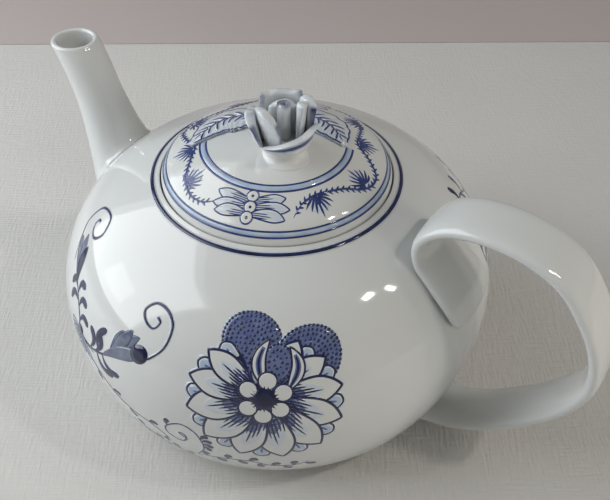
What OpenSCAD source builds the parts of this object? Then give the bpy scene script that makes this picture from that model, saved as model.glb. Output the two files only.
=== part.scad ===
// Teapot: round low body, cut-top spout, strap handle with a scroll, lift-off lid with a rosebud knob.
// Origin: on the table, halfway between the tip of the spout and the handle. +Z up, spout towards -X,
// handle towards +X. The axis of the pot stands at x = axis_x.

/* [Body] */
// Largest radius of the body, outside
body_r = 80; // [76:1:84]
// Height of the widest place above the table
belly_z = 43; // [41:1:45]
// Radius of the rounded upper belly
belly_arc = 44; // [41:1:47]
// Radius of the flatter shoulder around the opening
shoulder_arc = 125; // [115:1:140]
// Radius of the lower belly
lower_arc = 67; // [63:1:70]
// Thickness of the porcelain wall
wall = 3.6; // [3:0.1:4.5]

/* [Foot] */
// Middle radius of the ring that the pot stands on
foot_r = 50; // [44:1:54]
// Width of the foot ring
foot_w = 4.4; // [3:0.1:6]

/* [Opening] */
// Radius of the rim around the lid
rim_r = 40.7; // [39:0.1:42]
// Radius of the neck below the seat of the lid
neck_r = 34.5; // [32:0.5:36]
// How far the seat lies below the rim
seat_depth = 4.2; // [3.4:0.1:5]

/* [Lid] */
// Gap all round between the lid and the rim
lid_gap = 0.5; // [0.4:0.05:0.8]
// Height of the steep edge of the lid above the rim
lid_edge_h = 4.4; // [3.5:0.1:5]
// Radius of the dome of the lid
lid_dome = 72.5; // [68:0.5:80]
// Thickness of the lid
lid_wall = 3.2; // [2.8:0.1:4]
// Depth of the flange that keeps the lid in the opening
flange_h = 9; // [6:0.5:11]
// Diameter of the steam hole
vent_d = 2.6; // [2:0.1:3.5]
// Direction that the front of the knob faces when the lid is home, in degrees from the handle
lid_turn = -55; // [-180:5:180]

/* [Spout] */
// Distance of the mouth from the axis of the pot
mouth_x = 90; // [87:0.5:92]
// Height of the mouth
mouth_z = 112.5; // [109:0.5:115]
// Outside radius of the mouth
mouth_r = 8.9; // [8.5:0.1:9.5]
// Outside half-width of the root, where it joins the body
root_r = 21.5; // [19:0.5:22]
// Wall of the spout
spout_wall = 2.2; // [1.8:0.1:2.6]
// Diameter of the strainer holes behind the spout
strainer_d = 4.4; // [3.6:0.1:5]

/* [Handle] */
// Half-width of the strap along the grip
strap_half_w = 10.2; // [9:0.2:11]
// Half-width of the strap where the scroll lies on the body
scroll_half_w = 15.5; // [13:0.25:16]
// Thickness of the strap
strap_t = 5.6; // [5:0.1:6.5]

/* [Knob] */
// How far in front of the middle of the lid the rosebud stands
rose_shift = 9; // [8:0.5:10]
// Height of the tallest petal above the cup of the bud
rose_h = 12; // [11:0.5:13]
// Radius of the cup of the bud
rose_r = 8.6; // [8.4:0.1:9]

/* [Hidden] */

porcelain = "#eceeec";
cobalt_edge = "#c5d2e6";
leaf_tint = "#a9bfdd";

// Shape of the body
heel_arc = 15;         // radius of the turn from the lower belly to the underside
heel_angle = 26;       // where that turn starts, in degrees below the horizontal
belly_x = body_r - belly_arc;
shoulder_z = belly_z - sqrt(pow(shoulder_arc - belly_arc, 2) - pow(belly_x, 2));
shoulder_angle = atan2(belly_z - shoulder_z, belly_x);
heel_x = body_r - lower_arc + (lower_arc - heel_arc) * cos(heel_angle);
heel_z = belly_z - (lower_arc - heel_arc) * sin(heel_angle);
underside_z = heel_z - heel_arc;
rim_z = surface_z(rim_r);

// Lid
lid_r = rim_r - lid_gap;
seat_z = rim_z - seat_depth;
lid_top_r = lid_r - 2.2;
lid_base_z = seat_z + 0.3;
edge_z = rim_z + lid_edge_h;
dome_z = edge_z - sqrt(pow(lid_dome, 2) - pow(lid_top_r, 2));
flange_r = neck_r - 0.7;

// Height of the outside of the shoulder at a distance r from the axis
function surface_z(r) = shoulder_z + sqrt(pow(shoulder_arc, 2) - r * r);

// Height of the outside of the lid at a distance r from its axis
function lid_z(r) = dome_z + sqrt(pow(lid_dome, 2) - r * r);

// Point on a circular arc
function arc_pt(cx, cz, r, a) = [cx + r * cos(a), cz + r * sin(a)];

// Points along an arc from angle a to angle b in n steps
function arc(cx, cz, r, a, b, n) = [for (i = [0:n]) arc_pt(cx, cz, r, a + (b - a) * i / n)];

// Outline of the closed body in the half-plane, drawn in by d from the outside
function body_outline(d, bottom) = concat(
    [[0, bottom], [heel_x, bottom]],
    arc(heel_x, heel_z, heel_arc - d, -82, -heel_angle, 5),
    arc(body_r - lower_arc, belly_z, lower_arc - d, -heel_angle + 2, 0, 8),
    arc(belly_x, belly_z, belly_arc - d, 5, shoulder_angle, 12),
    arc(0, shoulder_z, shoulder_arc - d, shoulder_angle + 1.6, 90, 12)
);

// Catmull-Rom curve through the points p, with m steps between two of them
function cr(p0, p1, p2, p3, t) = 0.5 * (2 * p1 + (p2 - p0) * t
    + (2 * p0 - 5 * p1 + 4 * p2 - p3) * t * t + (3 * p1 - p0 - 3 * p2 + p3) * t * t * t);
function curve(p, m) = concat([for (i = [0:len(p) - 2]) for (j = [0:m - 1])
    cr(p[max(i - 1, 0)], p[i], p[i + 1], p[min(i + 2, len(p) - 1)], j / m)], [p[len(p) - 1]]);

// Unit direction along a list of points at place i
function unit(v) = v / norm(v);
function heading(p, i) = unit(p[min(i + 1, len(p) - 1)] - p[max(i - 1, 0)]);

// Superellipse point: e = 1 gives an ellipse, smaller gives a rounder-cornered box
function sq(c, e) = sign(c) * pow(abs(c), e);

// Solid through a list of closed rings that all have the same number of points
module skin(rings) {
    n = len(rings[0]);
    k = len(rings);
    points = [for (r = rings) for (p = r) p];
    sides = [for (i = [0:k - 2]) for (j = [0:n - 1])
        [i * n + j, i * n + (j + 1) % n, (i + 1) * n + (j + 1) % n, (i + 1) * n + j]];
    tris = [for (q = sides) for (t = [[q[0], q[1], q[2]], [q[0], q[2], q[3]]]) t];
    cap = [for (j = [0:n / 2 - 2]) for (t = [[j, j + 1, n - 2 - j], [j, n - 2 - j, n - 1 - j]]) t];
    last = (k - 1) * n;
    polyhedron(points, concat([for (t = tris) [t[2], t[1], t[0]]], cap,
        [for (t = cap) [last + t[2], last + t[1], last + t[0]]]), convexity = 6);
}

// Closed outside of the body as a solid
module body_solid(d = 0, bottom = underside_z) {
    rotate_extrude($fn = 120) polygon(body_outline(d, bottom));
}

// The pot is drawn round its own axis and then set beside the origin
module on_axis() {
    translate([axis_x, 0, 0]) children();
}

// ---- Body: one thrown shell with its foot, the seat of the lid and the strainer
module foot_section() {
    translate([foot_r - foot_w / 2, 1.2])
        square([foot_w, underside_z + wall / 2 - 1.2]);
    translate([foot_r - foot_w / 2 + 0.8, 0])
        square([foot_w - 1.6, 2]);
}

module strainer_holes() {
    rows = [-12, -4, 4, 12];
    for (i = [0:len(rows) - 1])
        for (y = (i % 2 == 0) ? [-6, 0, 6] : [-9, -3, 3, 9])
            translate([-spout_root[0] + 16, y, spout_root[1] + rows[i] * 0.55])
                rotate([0, -90, 0])
                    cylinder(h = 40, d = strainer_d, $fn = 24);
}

module pot_body() {
    color(porcelain) on_axis()
    difference() {
        union() {
            rotate_extrude($fn = 120)
                difference() {
                    polygon(body_outline(0, underside_z));
                    polygon(body_outline(wall, underside_z + wall));
                }
            rotate_extrude($fn = 120)
                foot_section();
            rotate_extrude($fn = 120)
                translate([neck_r, seat_z - 4])
                    polygon([[0, 0], [0, 4], [rim_r - neck_r + 3, 4],
                        [rim_r - neck_r + 4, 6], [rim_r - neck_r + 6, 2]]);
        }
        translate([0, 0, seat_z])
            cylinder(h = 40, r = rim_r, $fn = 120);
        translate([0, 0, seat_z - 12])
            cylinder(h = 40, r = neck_r, $fn = 120);
        strainer_holes();
    }
}

// ---- Spout: hollow tube on a curved line, wide at the root, cut level at the mouth
spout_root = [71, 58];
spout_line = curve([[63, 44], spout_root, [76.5, 74], [81, 89], [85.2, 101.5], [mouth_x, mouth_z]], 5);

// Half-widths of the spout, across and along its bend, at a part t of its length
function spout_w(t) = mouth_r + (root_r - mouth_r) * pow(max(0, 1 - t / 0.7), 1.7);
function spout_d(t) = mouth_r + (root_r - 4 - mouth_r) * pow(max(0, 1 - t / 0.7), 1.7);

// Ring of the spout: leaning at the root, level at the mouth
spout_lean = 36;
function spout_ring(i, d, n) =
    let (t = i / (len(spout_line) - 1), lean = spout_lean * (1 - t), u = [cos(lean), -sin(lean)])
    [for (j = [0:n - 1])
        let (a = -360 * j / n, q = (spout_d(t) - d) * cos(a))
        [-(spout_line[i][0] + q * u[0]), (spout_w(t) - d) * sin(a), spout_line[i][1] + q * u[1]]];

module spout_tube(d, n, first, last) {
    skin([for (i = [first:last]) spout_ring(i, d, n)]);
}

module spout() {
    n = len(spout_line) - 1;
    color(porcelain) on_axis()
    difference() {
        spout_tube(0, 32, 0, n);
        spout_tube(spout_wall, 32, 0, n - 1);
        translate([-mouth_x, 0, mouth_z - 2.6])
            cylinder(h = 10, r = mouth_r - spout_wall, $fn = 48);
        body_solid();
    }
}

// ---- Handle: one strap whose curled end lies on the shoulder, then out, down and back to the belly
handle_line = curve([[77.5, 60], [74, 68.8], [67, 75.6], [60.6, 81.6], [59.2, 88.6], [64, 95],
    [73, 98.8], [84, 99.6], [95, 97.6], [105, 92.4], [112.5, 83.5], [118, 74], [120.8, 64],
    [120.5, 54.5], [115.5, 42.5], [107, 31], [98, 22], [89, 14.5], [79, 9.2], [66, 6.4]], 3);

function handle_w(t) = strap_half_w + (scroll_half_w - strap_half_w) * pow(max(0, 1 - t / 0.3), 1.3);

function handle_ring(i, n) =
    let (t = i / (len(handle_line) - 1), h = heading(handle_line, i), u = [-h[1], h[0]])
    [for (j = [0:n - 1])
        let (a = 360 * j / n, q = strap_t / 2 * sq(sin(a), 0.8))
        [handle_line[i][0] + q * u[0], handle_w(t) * sq(cos(a), 0.7), handle_line[i][1] + q * u[1]]];

// Place of the axis that puts the origin halfway along the whole pot
handle_reach = max([for (i = [0:len(handle_line) - 1]) for (p = handle_ring(i, 20)) p[0]]);
axis_x = (mouth_x + mouth_r - handle_reach) / 2;

module handle() {
    color(porcelain) on_axis()
    difference() {
        skin([for (i = [0:len(handle_line) - 1]) handle_ring(i, 20)]);
        body_solid();
    }
}

// ---- Lid: shallow dome with a steep edge and a flange that drops into the neck
function lid_outside(d) = concat(
    [[0, lid_z(0) - d]],
    [for (i = [1:10]) let (r = (lid_top_r - 1) * i / 10) [r, lid_z(r) - d]]
);

module lid_section() {
    top = lid_outside(0);
    under = lid_outside(lid_wall);
    polygon(concat(
        top,
        [[lid_top_r, edge_z - 0.5], [lid_r - 0.8, edge_z - 2.2], [lid_r, rim_z + 0.4]],
        [[lid_r, lid_base_z], [flange_r, lid_base_z], [flange_r, lid_base_z - flange_h]],
        [[flange_r - 2.6, lid_base_z - flange_h], [flange_r - 3.2, edge_z - lid_wall - 2]],
        [for (i = [9:-1:0]) if (under[i][0] < flange_r - 3.6) under[i]]
    ));
}

module lid() {
    color(porcelain) on_axis()
    difference() {
        rotate_extrude($fn = 120) lid_section();
        rotate([0, 0, lid_turn])
            translate([-16, 0, lid_z(16) - 8])
                cylinder(h = 16, d = vent_d, $fn = 24);
    }
}

// ---- Knob: a rosebud of separate petals on a short stem, with two leaves behind it
rose_z = lid_z(rose_shift) + 4.6;     // top of the cup, where the petals stand
rose_side = 2.3;                      // distance of the bud from the middle line of the lid

module on_lid() {
    rotate([0, 0, lid_turn]) children();
}

module on_cup() {
    on_axis() on_lid() translate([rose_shift, rose_side, rose_z]) children();
}

// Everything under the outside of the lid, to cut the stem to its surface
module under_lid() {
    rotate_extrude($fn = 120)
        polygon(concat([[0, lid_z(0) - 20], [lid_top_r - 1, lid_z(0) - 20]],
            [for (i = [10:-1:0]) let (r = (lid_top_r - 1) * i / 10) [r, lid_z(r) + 0.01]]));
}

// Cup of the bud: narrow where it sits on the lid, wide where the petals stand
module knob_stem() {
    color(porcelain)
    difference() {
        on_cup() rotate_extrude($fn = 48)
            polygon([[0, -9], [8.6, -9], [7.4, -5], [7.1, -4], [7.5, -2.6],
                [rose_r - 0.4, -1.2], [rose_r, 0], [0, 0]]);
        on_axis() under_lid();
    }
}

// One petal: stands on the cup, leans out and cups round the middle of the bud
// a: direction, spread: half-angle, r0 and r1: radius at the root and the tip, h: height,
// t: thickness, dip: how far the tip falls off towards its sides
module petal(a, spread, r0, r1, h, t, dip) {
    n = 10;
    m = 8;
    rings = [for (i = [0:m])
        let (v = i / m, r = r0 + (r1 - r0) * sin(90 * pow(v, 0.8)),
             s = spread * (0.8 + 0.2 * sin(180 * pow(v, 0.7))))
        concat(
            [for (j = [0:n]) let (u = 2 * j / n - 1)
                [r * cos(a + s * u), r * sin(a + s * u), h * v * (1 - dip * v * u * u)]],
            [for (j = [n:-1:0]) let (u = 2 * j / n - 1)
                [(r - t) * cos(a + s * u), (r - t) * sin(a + s * u), h * v * (1 - dip * v * u * u)]]
        )];
    color(cobalt_edge) on_cup() translate([0, 0, 0.02]) skin(rings);
}

module rose_heart() {
    color(cobalt_edge) on_cup() translate([0, 0, 0.02])
        rotate_extrude($fn = 32)
            polygon([[0, 0], [2.4, 0], [2.2, 4], [2.3, 10], [2, 12.4], [1.2, 13], [0, 13]]);
}

// Direction, half-angle, radius at the tip and height of each petal, from the heart outwards
inner = [[-52, 36, 8.4, 14], [92, 30, 5.4, 14.4], [184, 56, 5.6, 12]];
outer = [[20, 58, 9.6, 3.2], [-98, 28, 12.4, 10], [180, 50, 8.6, rose_h], [104, 24, 9, 13.6]];

module rose_inner_petal(i) {
    petal(inner[i][0], inner[i][1], 4.6, inner[i][2], inner[i][3], 1.2, 0.1);
}

module rose_outer_petal(i) {
    petal(outer[i][0], outer[i][1], 7.6, outer[i][2], outer[i][3], 1.4, 0.12);
}

// One leaf that lies on the lid; m: points along its midrib, w: largest half-width, t: thickness
module leaf(m, w, t) {
    rib = curve(m, 6);
    k = len(rib) - 1;
    n = 8;
    rings = [for (i = [0:k])
        let (s = i / k, h = heading(rib, i), half = w * (0.12 + 0.88 * sin(180 * pow(s, 0.85))) + 0.15,
             row = [for (j = [0:n]) let (q = half * (2 * j / n - 1)) rib[i] + q * [-h[1], h[0]]])
        concat(
            [for (j = [0:n]) [row[j][0], row[j][1], lid_z(norm(row[j])) + 0.03]],
            [for (j = [n:-1:0]) [row[j][0], row[j][1],
                lid_z(norm(row[j])) + t * (0.55 + 0.45 * (1 - pow(2 * j / n - 1, 2)))]]
        )];
    color(leaf_tint) on_axis() on_lid() skin(rings);
}

module leaf_left() {
    leaf([[-6, -2], [-10.5, -10], [-10.3, -19], [-1.7, -29.4]], 8.6, 1.6);
}

module leaf_right() {
    leaf([[-6, 5], [-10, 11], [-6, 18], [4.2, 23]], 8.8, 1.6);
}

pot_body();
spout();
handle();
lid();
knob_stem();
rose_heart();
rose_inner_petal(0);  // rose_inner_petal_1
rose_inner_petal(1);  // rose_inner_petal_2
rose_inner_petal(2);  // rose_inner_petal_3
rose_outer_petal(0);  // rose_outer_petal_1
rose_outer_petal(1);  // rose_outer_petal_2
rose_outer_petal(2);  // rose_outer_petal_3
rose_outer_petal(3);  // rose_outer_petal_4
leaf_left();
leaf_right();
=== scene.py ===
"""White porcelain teapot with blue painting under the glaze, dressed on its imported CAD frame."""

import functools
import math

import bpy
import numpy as np
from mathutils import Matrix, Vector


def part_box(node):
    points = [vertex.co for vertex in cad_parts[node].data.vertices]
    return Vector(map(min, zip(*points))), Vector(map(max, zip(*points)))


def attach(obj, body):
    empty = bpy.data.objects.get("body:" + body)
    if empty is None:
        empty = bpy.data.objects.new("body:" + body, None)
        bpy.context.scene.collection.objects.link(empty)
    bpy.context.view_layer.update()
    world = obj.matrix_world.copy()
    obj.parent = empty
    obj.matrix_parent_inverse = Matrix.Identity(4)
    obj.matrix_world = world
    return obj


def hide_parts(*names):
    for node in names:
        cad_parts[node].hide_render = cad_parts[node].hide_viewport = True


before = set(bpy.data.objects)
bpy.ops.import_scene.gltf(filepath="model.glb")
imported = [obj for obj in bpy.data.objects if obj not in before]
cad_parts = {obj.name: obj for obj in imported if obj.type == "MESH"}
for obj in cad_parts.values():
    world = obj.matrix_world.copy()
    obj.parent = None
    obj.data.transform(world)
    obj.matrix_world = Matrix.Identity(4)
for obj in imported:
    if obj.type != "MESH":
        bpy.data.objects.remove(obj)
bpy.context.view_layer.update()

MM = 0.001
pot_low, pot_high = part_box("pot_body")
AXIS = np.array([(pot_low.x + pot_high.x) / 2 / MM, 0, 0])

# ---- Sizes of the pot in millimetres, round its own axis, as the CAD has them
BELLY_Z = 43
HEEL = (59.74, 20.2, 15)          # centre x, z and radius of the turn to the underside
LOWER = (13, BELLY_Z, 67)
BELLY = (36, BELLY_Z, 44)
SHOULDER = (0, -29.56, 125)
HEEL_END, BELLY_END = -26, 63.61  # degrees where the arcs meet
UNDERSIDE = 5.2
WALL = 3.6
FOOT = (50, 4.4)                  # middle radius and width of the foot ring
RIM_R, NECK_R = 40.7, 34.5
RIM_Z = SHOULDER[1] + math.sqrt(SHOULDER[2] ** 2 - RIM_R**2)
SEAT_Z = RIM_Z - 4.2
LID_R = RIM_R - 0.5
LID_TOP_R = LID_R - 2.2
LID_BASE = SEAT_Z + 0.3
EDGE_Z = RIM_Z + 4.4
DOME_R = 72.5
DOME_Z = EDGE_Z - math.sqrt(DOME_R**2 - LID_TOP_R**2)
FLANGE_R, FLANGE_Z = NECK_R - 0.7, LID_BASE - 9
LID_WALL = 3.2
LID_TURN = math.radians(-55)
MOUTH = (90, 112.5, 8.9)          # x, z and radius of the spout's mouth
SPOUT_WALL = 2.2
ROSE = (9.0, 2.3)                 # place of the bud in the plan of the lid
CUP_R = 8.6


# ---- Small geometry tools
def arc(cx, cz, r, a, b, n):
    t = np.radians(np.linspace(a, b, n))
    return np.stack([cx + r * np.cos(t), cz + r * np.sin(t)], 1)


def catmull(a, b, c, d, t):
    return 0.5 * (2 * b + (c - a) * t + (2 * a - 5 * b + 4 * c - d) * t * t + (3 * b - a - 3 * c + d) * t**3)


def smooth_line(points, n):
    """n points evenly along a Catmull-Rom curve through points."""
    p = np.array(points, float)
    e = np.vstack([2 * p[0] - p[1], p, 2 * p[-1] - p[-2]])
    out = []
    for i in range(1, len(e) - 2):
        for t in np.linspace(0, 1, 16, endpoint=False):
            out.append(catmull(e[i - 1], e[i], e[i + 1], e[i + 2], t))
    out = np.array(out + [p[-1]])
    d = np.concatenate([[0], np.cumsum(np.linalg.norm(np.diff(out, axis=0), axis=1))])
    s = np.linspace(0, d[-1], n)
    return np.stack([np.interp(s, d, out[:, k]) for k in range(out.shape[1])], 1)


def unit(v):
    return v / np.maximum(np.linalg.norm(v, axis=-1, keepdims=True), 1e-9)


def left(v):
    """Plane vectors turned a quarter to the left."""
    return np.stack([-v[..., 1], v[..., 0]], -1)


def spoke(angle):
    """Unit vector at an angle from straight up."""
    return np.array([-math.sin(angle), math.cos(angle)])


def circle(n):
    t = np.linspace(0, 2 * np.pi, n, endpoint=False)
    return np.stack([np.cos(t), np.sin(t)], -1)


def polar(r, degrees):
    a = np.radians(degrees)
    return np.stack([r * np.cos(a), r * np.sin(a)], -1)


def turn_plan(p, angle):
    """x and y of points turned about the axis."""
    c, s = math.cos(angle), math.sin(angle)
    return np.stack([c * p[..., 0] - s * p[..., 1], s * p[..., 0] + c * p[..., 1]], -1)


def turned(profile, n):
    """Grid of a profile of radius and height turned about the axis."""
    c = circle(n)
    return np.stack([profile[:, :1] * c[:, 0], profile[:, :1] * c[:, 1], np.repeat(profile[:, 1:], n, 1)], -1)


def rounded(points, r, n=4):
    """Polyline with each inner corner replaced by a short arc of about radius r."""
    p = [np.array(q, float) for q in points]
    out = [p[0]]
    for a, b, c in zip(p[:-2], p[1:-1], p[2:]):
        cut = min(r, np.linalg.norm(a - b) * 0.45, np.linalg.norm(c - b) * 0.45)
        s, e = b + unit(a - b) * cut, b + unit(c - b) * cut
        for t in np.linspace(0, 1, n + 1):
            out.append((1 - t) ** 2 * s + 2 * t * (1 - t) * b + t * t * e)
    return np.array(out + [p[-1]])


def grid_faces(m, n, wrap=True, flip=False):
    faces = []
    for i in range(m - 1):
        for j in range(n if wrap else n - 1):
            k = (j + 1) % n
            q = [i * n + j, i * n + k, (i + 1) * n + k, (i + 1) * n + j]
            faces.append(q[::-1] if flip else q)
    return faces


def fans(m, n):
    """Triangles that close the first and the last ring of a grid on the two points that follow it."""
    faces = []
    for j in range(n):
        k = (j + 1) % n
        faces += [[m * n, k, j], [m * n + 1, (m - 1) * n + j, (m - 1) * n + k]]
    return faces


@functools.lru_cache(None)
def slab_faces(m, n, flip=False):
    """Closed slab from two grids, one behind the other, and the wall round them."""
    k = m * n
    front = grid_faces(m, n, wrap=False, flip=flip)
    faces = front + [[x + k for x in f[::-1]] for f in front]
    loop = list(range(n)) + [i * n + n - 1 for i in range(1, m)]
    loop += [(m - 1) * n + j for j in range(n - 2, -1, -1)] + [i * n for i in range(m - 2, 0, -1)]
    for a, b in zip(loop, loop[1:] + loop[:1]):
        faces.append([a, b, b + k, a + k] if flip else [b, a, a + k, b + k])
    return np.array(faces)


def lathe(profile, n):
    """Turned surface; a profile that starts and ends on the axis closes itself."""
    p = np.array(profile, float)
    m = len(p) - 2
    verts = np.vstack([turned(p[1:-1], n).reshape(-1, 3), [[0, 0, p[0, 1]], [0, 0, p[-1, 1]]]])
    return verts, grid_faces(m, n) + fans(m, n)


def cylinder(centre, direction, r, length, n=20):
    """Closed round bar from centre along direction."""
    d = unit(np.array(direction, float))
    a = unit(np.cross(d, [0, 0, 1.0]))
    c = circle(n)
    ring = r * (c[:, :1] * a + c[:, 1:] * np.cross(d, a))
    v = np.vstack([ring + centre, ring + centre + d * length])
    f = [[j, (j + 1) % n, n + (j + 1) % n, n + j] for j in range(n)]
    return v, f + [list(range(n))[::-1], list(range(n, 2 * n))]


# ---- Meshes in the scene
def new_object(name, verts, faces):
    """Object from millimetre points round the pot's axis."""
    mesh = bpy.data.meshes.new(name)
    co = (np.asarray(verts, float) + AXIS) * MM
    mesh.from_pydata(co.tolist(), [], [list(map(int, f)) for f in faces])
    obj = bpy.data.objects.new(name, mesh)
    bpy.context.scene.collection.objects.link(obj)
    return obj


def make(name, verts, faces, material, body, slot, replaced=(), smooth=None, rim=None):
    """Mesh piece that rides on a CAD body; rim is a value on each point, for the material."""
    obj = new_object(name, verts, faces)
    mesh = obj.data
    mesh.validate()
    mesh.update()
    if rim is not None:
        mesh.attributes.new("rim", "FLOAT", "POINT").data.foreach_set("value", np.asarray(rim, np.float32))
    mesh.polygons.foreach_set("use_smooth", [True] * len(mesh.polygons) if smooth is None else smooth)
    mesh.materials.append(material)
    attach(obj, body)
    if replaced:
        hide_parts(*replaced)
    return obj


def apply(obj):
    graph = bpy.context.evaluated_depsgraph_get()
    mesh = bpy.data.meshes.new_from_object(obj.evaluated_get(graph))
    obj.modifiers.clear()
    obj.data = mesh
    mesh.polygons.foreach_set("use_smooth", [True] * len(mesh.polygons))


def drill(obj, holes):
    """Cuts round bars (centre, direction, radius, length) out of a piece."""
    verts, faces = [], []
    for hole in holes:
        v, f = cylinder(*hole)
        faces += [[k + len(verts) for k in q] for q in f]
        verts += v.tolist()
    cutter = new_object("cutter", verts, faces)
    mod = obj.modifiers.new("holes", "BOOLEAN")
    mod.object, mod.operation, mod.solver = cutter, "DIFFERENCE", "EXACT"
    apply(obj)
    bpy.data.objects.remove(cutter)


# ---- Outside of the body, for the shell and for everything that lies on it
meridian = np.vstack([
    arc(*HEEL, -90, HEEL_END, 24)[:-1],
    arc(*LOWER, HEEL_END, 0, 26)[:-1],
    arc(*BELLY, 0, BELLY_END, 50)[:-1],
    arc(*SHOULDER, BELLY_END, math.degrees(math.acos((RIM_R + 0.7) / SHOULDER[2])), 14),
])
along = np.concatenate([[0], np.cumsum(np.linalg.norm(np.diff(meridian, axis=0), axis=1))])
slope = unit(np.gradient(meridian, axis=0))


def body_chart(azimuth, z):
    """Chart centred on the body at an azimuth in degrees and a height: u runs right, v runs up, in mm."""
    a0, s0 = math.radians(azimuth), np.interp(z, meridian[:, 1], along)

    def chart(uv):
        s = s0 + uv[..., 1]
        r, h = np.interp(s, along, meridian[:, 0]), np.interp(s, along, meridian[:, 1])
        nr, nz = np.interp(s, along, slope[:, 1]), -np.interp(s, along, slope[:, 0])
        a = a0 + uv[..., 0] / r
        ca, sa = np.cos(a), np.sin(a)
        return np.stack([r * ca, r * sa, h], -1), np.stack([nr * ca, nr * sa, nz], -1)

    return chart


def lid_height(r):
    return DOME_Z + np.sqrt(np.maximum(DOME_R**2 - r * r, 0))


def on_lid(xy, lift=0.0):
    """Points over the plan of the lid and their outward normals."""
    z = lid_height(np.hypot(xy[..., 0], xy[..., 1])) + lift
    p = np.concatenate([xy, z[..., None]], -1)
    return p, unit(p - np.array([0, 0, DOME_Z]))


# ---- Materials
class Nodes:
    """Material being built. An input is given a value, or an output to link."""

    def __init__(self, name):
        self.material = bpy.data.materials.new(name)
        self.material.use_nodes = True
        self.tree = self.material.node_tree
        self.place = self.add("TexCoord", "Object", {})

    def put(self, node, inputs):
        for key, value in inputs.items():
            if isinstance(value, bpy.types.NodeSocket):
                self.tree.links.new(value, node.inputs[key])
            else:
                node.inputs[key].default_value = value

    def add(self, kind, output, inputs, **settings):
        node = self.tree.nodes.new("ShaderNode" + kind)
        for key, value in settings.items():
            setattr(node, key, value)
        self.put(node, inputs)
        return node.outputs[output]

    def noise(self, scale, detail=2, place=None):
        return self.add("TexNoise", "Fac", {"Scale": scale, "Detail": detail, "Vector": place or self.place})

    def mix(self, share, a, b, kind="RGBA"):
        return self.add("Mix", "Result", {"Factor": share, "A": a, "B": b}, data_type=kind)

    def span(self, value, low, high, side="From"):
        """Value clamped to 0..1 between low and high, or 0..1 spread to them with side To."""
        return self.add("MapRange", "Result", {"Value": value, f"{side} Min": low, f"{side} Max": high})

    def bump(self, height, strength, distance):
        return self.add("Bump", "Normal", {"Height": height, "Strength": strength, "Distance": distance})

    def finish(self, inputs):
        self.put(self.tree.nodes["Principled BSDF"], inputs)
        return self.material


ROUGHNESS = 0.07
BARE_CLAY, BARE_ROUGHNESS = (0.62, 0.57, 0.5, 1), 0.8


def glaze(name, colour, second, scale, foot=False, field=None, bump=0.012):
    """Glossy glazed porcelain whose colour drifts between two tones. foot leaves the standing ring bare;
    field (colour, low, high) paints where the attribute rim of the mesh is high."""
    n = Nodes(name)
    top = n.mix(n.span(n.noise(scale, 5), 0.35, 0.65), (*colour, 1), (*second, 1))
    if field:
        paint, low, high = field
        rim = n.add("Attribute", "Fac", {}, attribute_name="rim")
        wobble = n.add("Math", "Value", {0: n.noise(520), 1: 0.5, 2: rim}, operation="MULTIPLY_ADD")
        top = n.mix(n.span(wobble, low, high), top, (*paint, 1))
    shine = n.span(n.noise(9), ROUGHNESS * 0.7, ROUGHNESS * 1.5, "To")
    if foot:
        bare = n.span(n.add("SeparateXYZ", "Z", {"Vector": n.place}), 1.3 * MM, 1.0 * MM)
        top = n.mix(bare, top, BARE_CLAY)
        shine = n.mix(bare, shine, BARE_ROUGHNESS, "FLOAT")
    return n.finish({"Base Color": top, "Roughness": shine, "IOR": 1.52, "Coat Weight": 0.3,
                     "Coat Roughness": 0.03, "Normal": n.bump(n.noise(45, 1), bump, 0.01)})


WHITE = ((0.66, 0.665, 0.65), (0.62, 0.635, 0.63))
white = glaze("porcelain_white", *WHITE, 14, foot=True)
fill_white = glaze("porcelain_fill", *WHITE, 14)
dark = glaze("cobalt_line", (0.005, 0.008, 0.042), (0.014, 0.022, 0.095), 260)
lid_dark = glaze("cobalt_line_lid", (0.013, 0.027, 0.13), (0.03, 0.055, 0.21), 260)
deep = glaze("cobalt_deep", (0.004, 0.006, 0.03), (0.01, 0.015, 0.07), 300)
wash = glaze("cobalt_wash", (0.34, 0.43, 0.58), (0.46, 0.53, 0.64), 160)
middle = glaze("cobalt_middle", (0.075, 0.105, 0.25), (0.13, 0.165, 0.31), 220)
grey_blue = glaze("cobalt_grey", (0.09, 0.11, 0.17), (0.17, 0.195, 0.27), 240)
halo = glaze("cobalt_halo", (0.53, 0.58, 0.66), (0.6, 0.63, 0.66), 160)
petal_glaze = glaze("bud_glaze", (0.68, 0.7, 0.71), (0.6, 0.63, 0.66), 220,
                    field=((0.035, 0.06, 0.18), 0.6, 1.6), bump=0.03)
leaf_glaze = glaze("leaf_glaze", (0.63, 0.65, 0.66), (0.54, 0.59, 0.64), 150,
                   field=((0.1, 0.15, 0.33), 1.0, 1.5), bump=0.03)

# ---- Pot: one thrown shell, with its seat for the lid and the strainer
foot_in, foot_out = FOOT[0] - FOOT[1] / 2, FOOT[0] + FOOT[1] / 2
floor_z = UNDERSIDE + WALL
base = rounded([(0, UNDERSIDE), (foot_in - 0.2, UNDERSIDE), (foot_in, 1.4), (foot_in + 0.8, 0),
                (foot_out - 0.8, 0), (foot_out, 1.4), (foot_out, UNDERSIDE + 0.1), (HEEL[0], UNDERSIDE)], 0.7)
rim = rounded([meridian[-1], (RIM_R, RIM_Z), (RIM_R, SEAT_Z), (NECK_R, SEAT_Z), (NECK_R, SEAT_Z - 4),
               (RIM_R + 6, SEAT_Z - 1.8)], 0.55)
inside = np.vstack([
    arc(*SHOULDER[:2], SHOULDER[2] - WALL, 67.2, BELLY_END, 8),
    arc(*BELLY[:2], BELLY[2] - WALL, BELLY_END, 0, 24)[1:],
    arc(*LOWER[:2], LOWER[2] - WALL, 0, HEEL_END, 14)[1:],
    arc(*HEEL[:2], HEEL[2] - WALL, HEEL_END, -90, 14)[1:],
    [(40, floor_z), (20, floor_z), (0, floor_z)],
])
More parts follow.
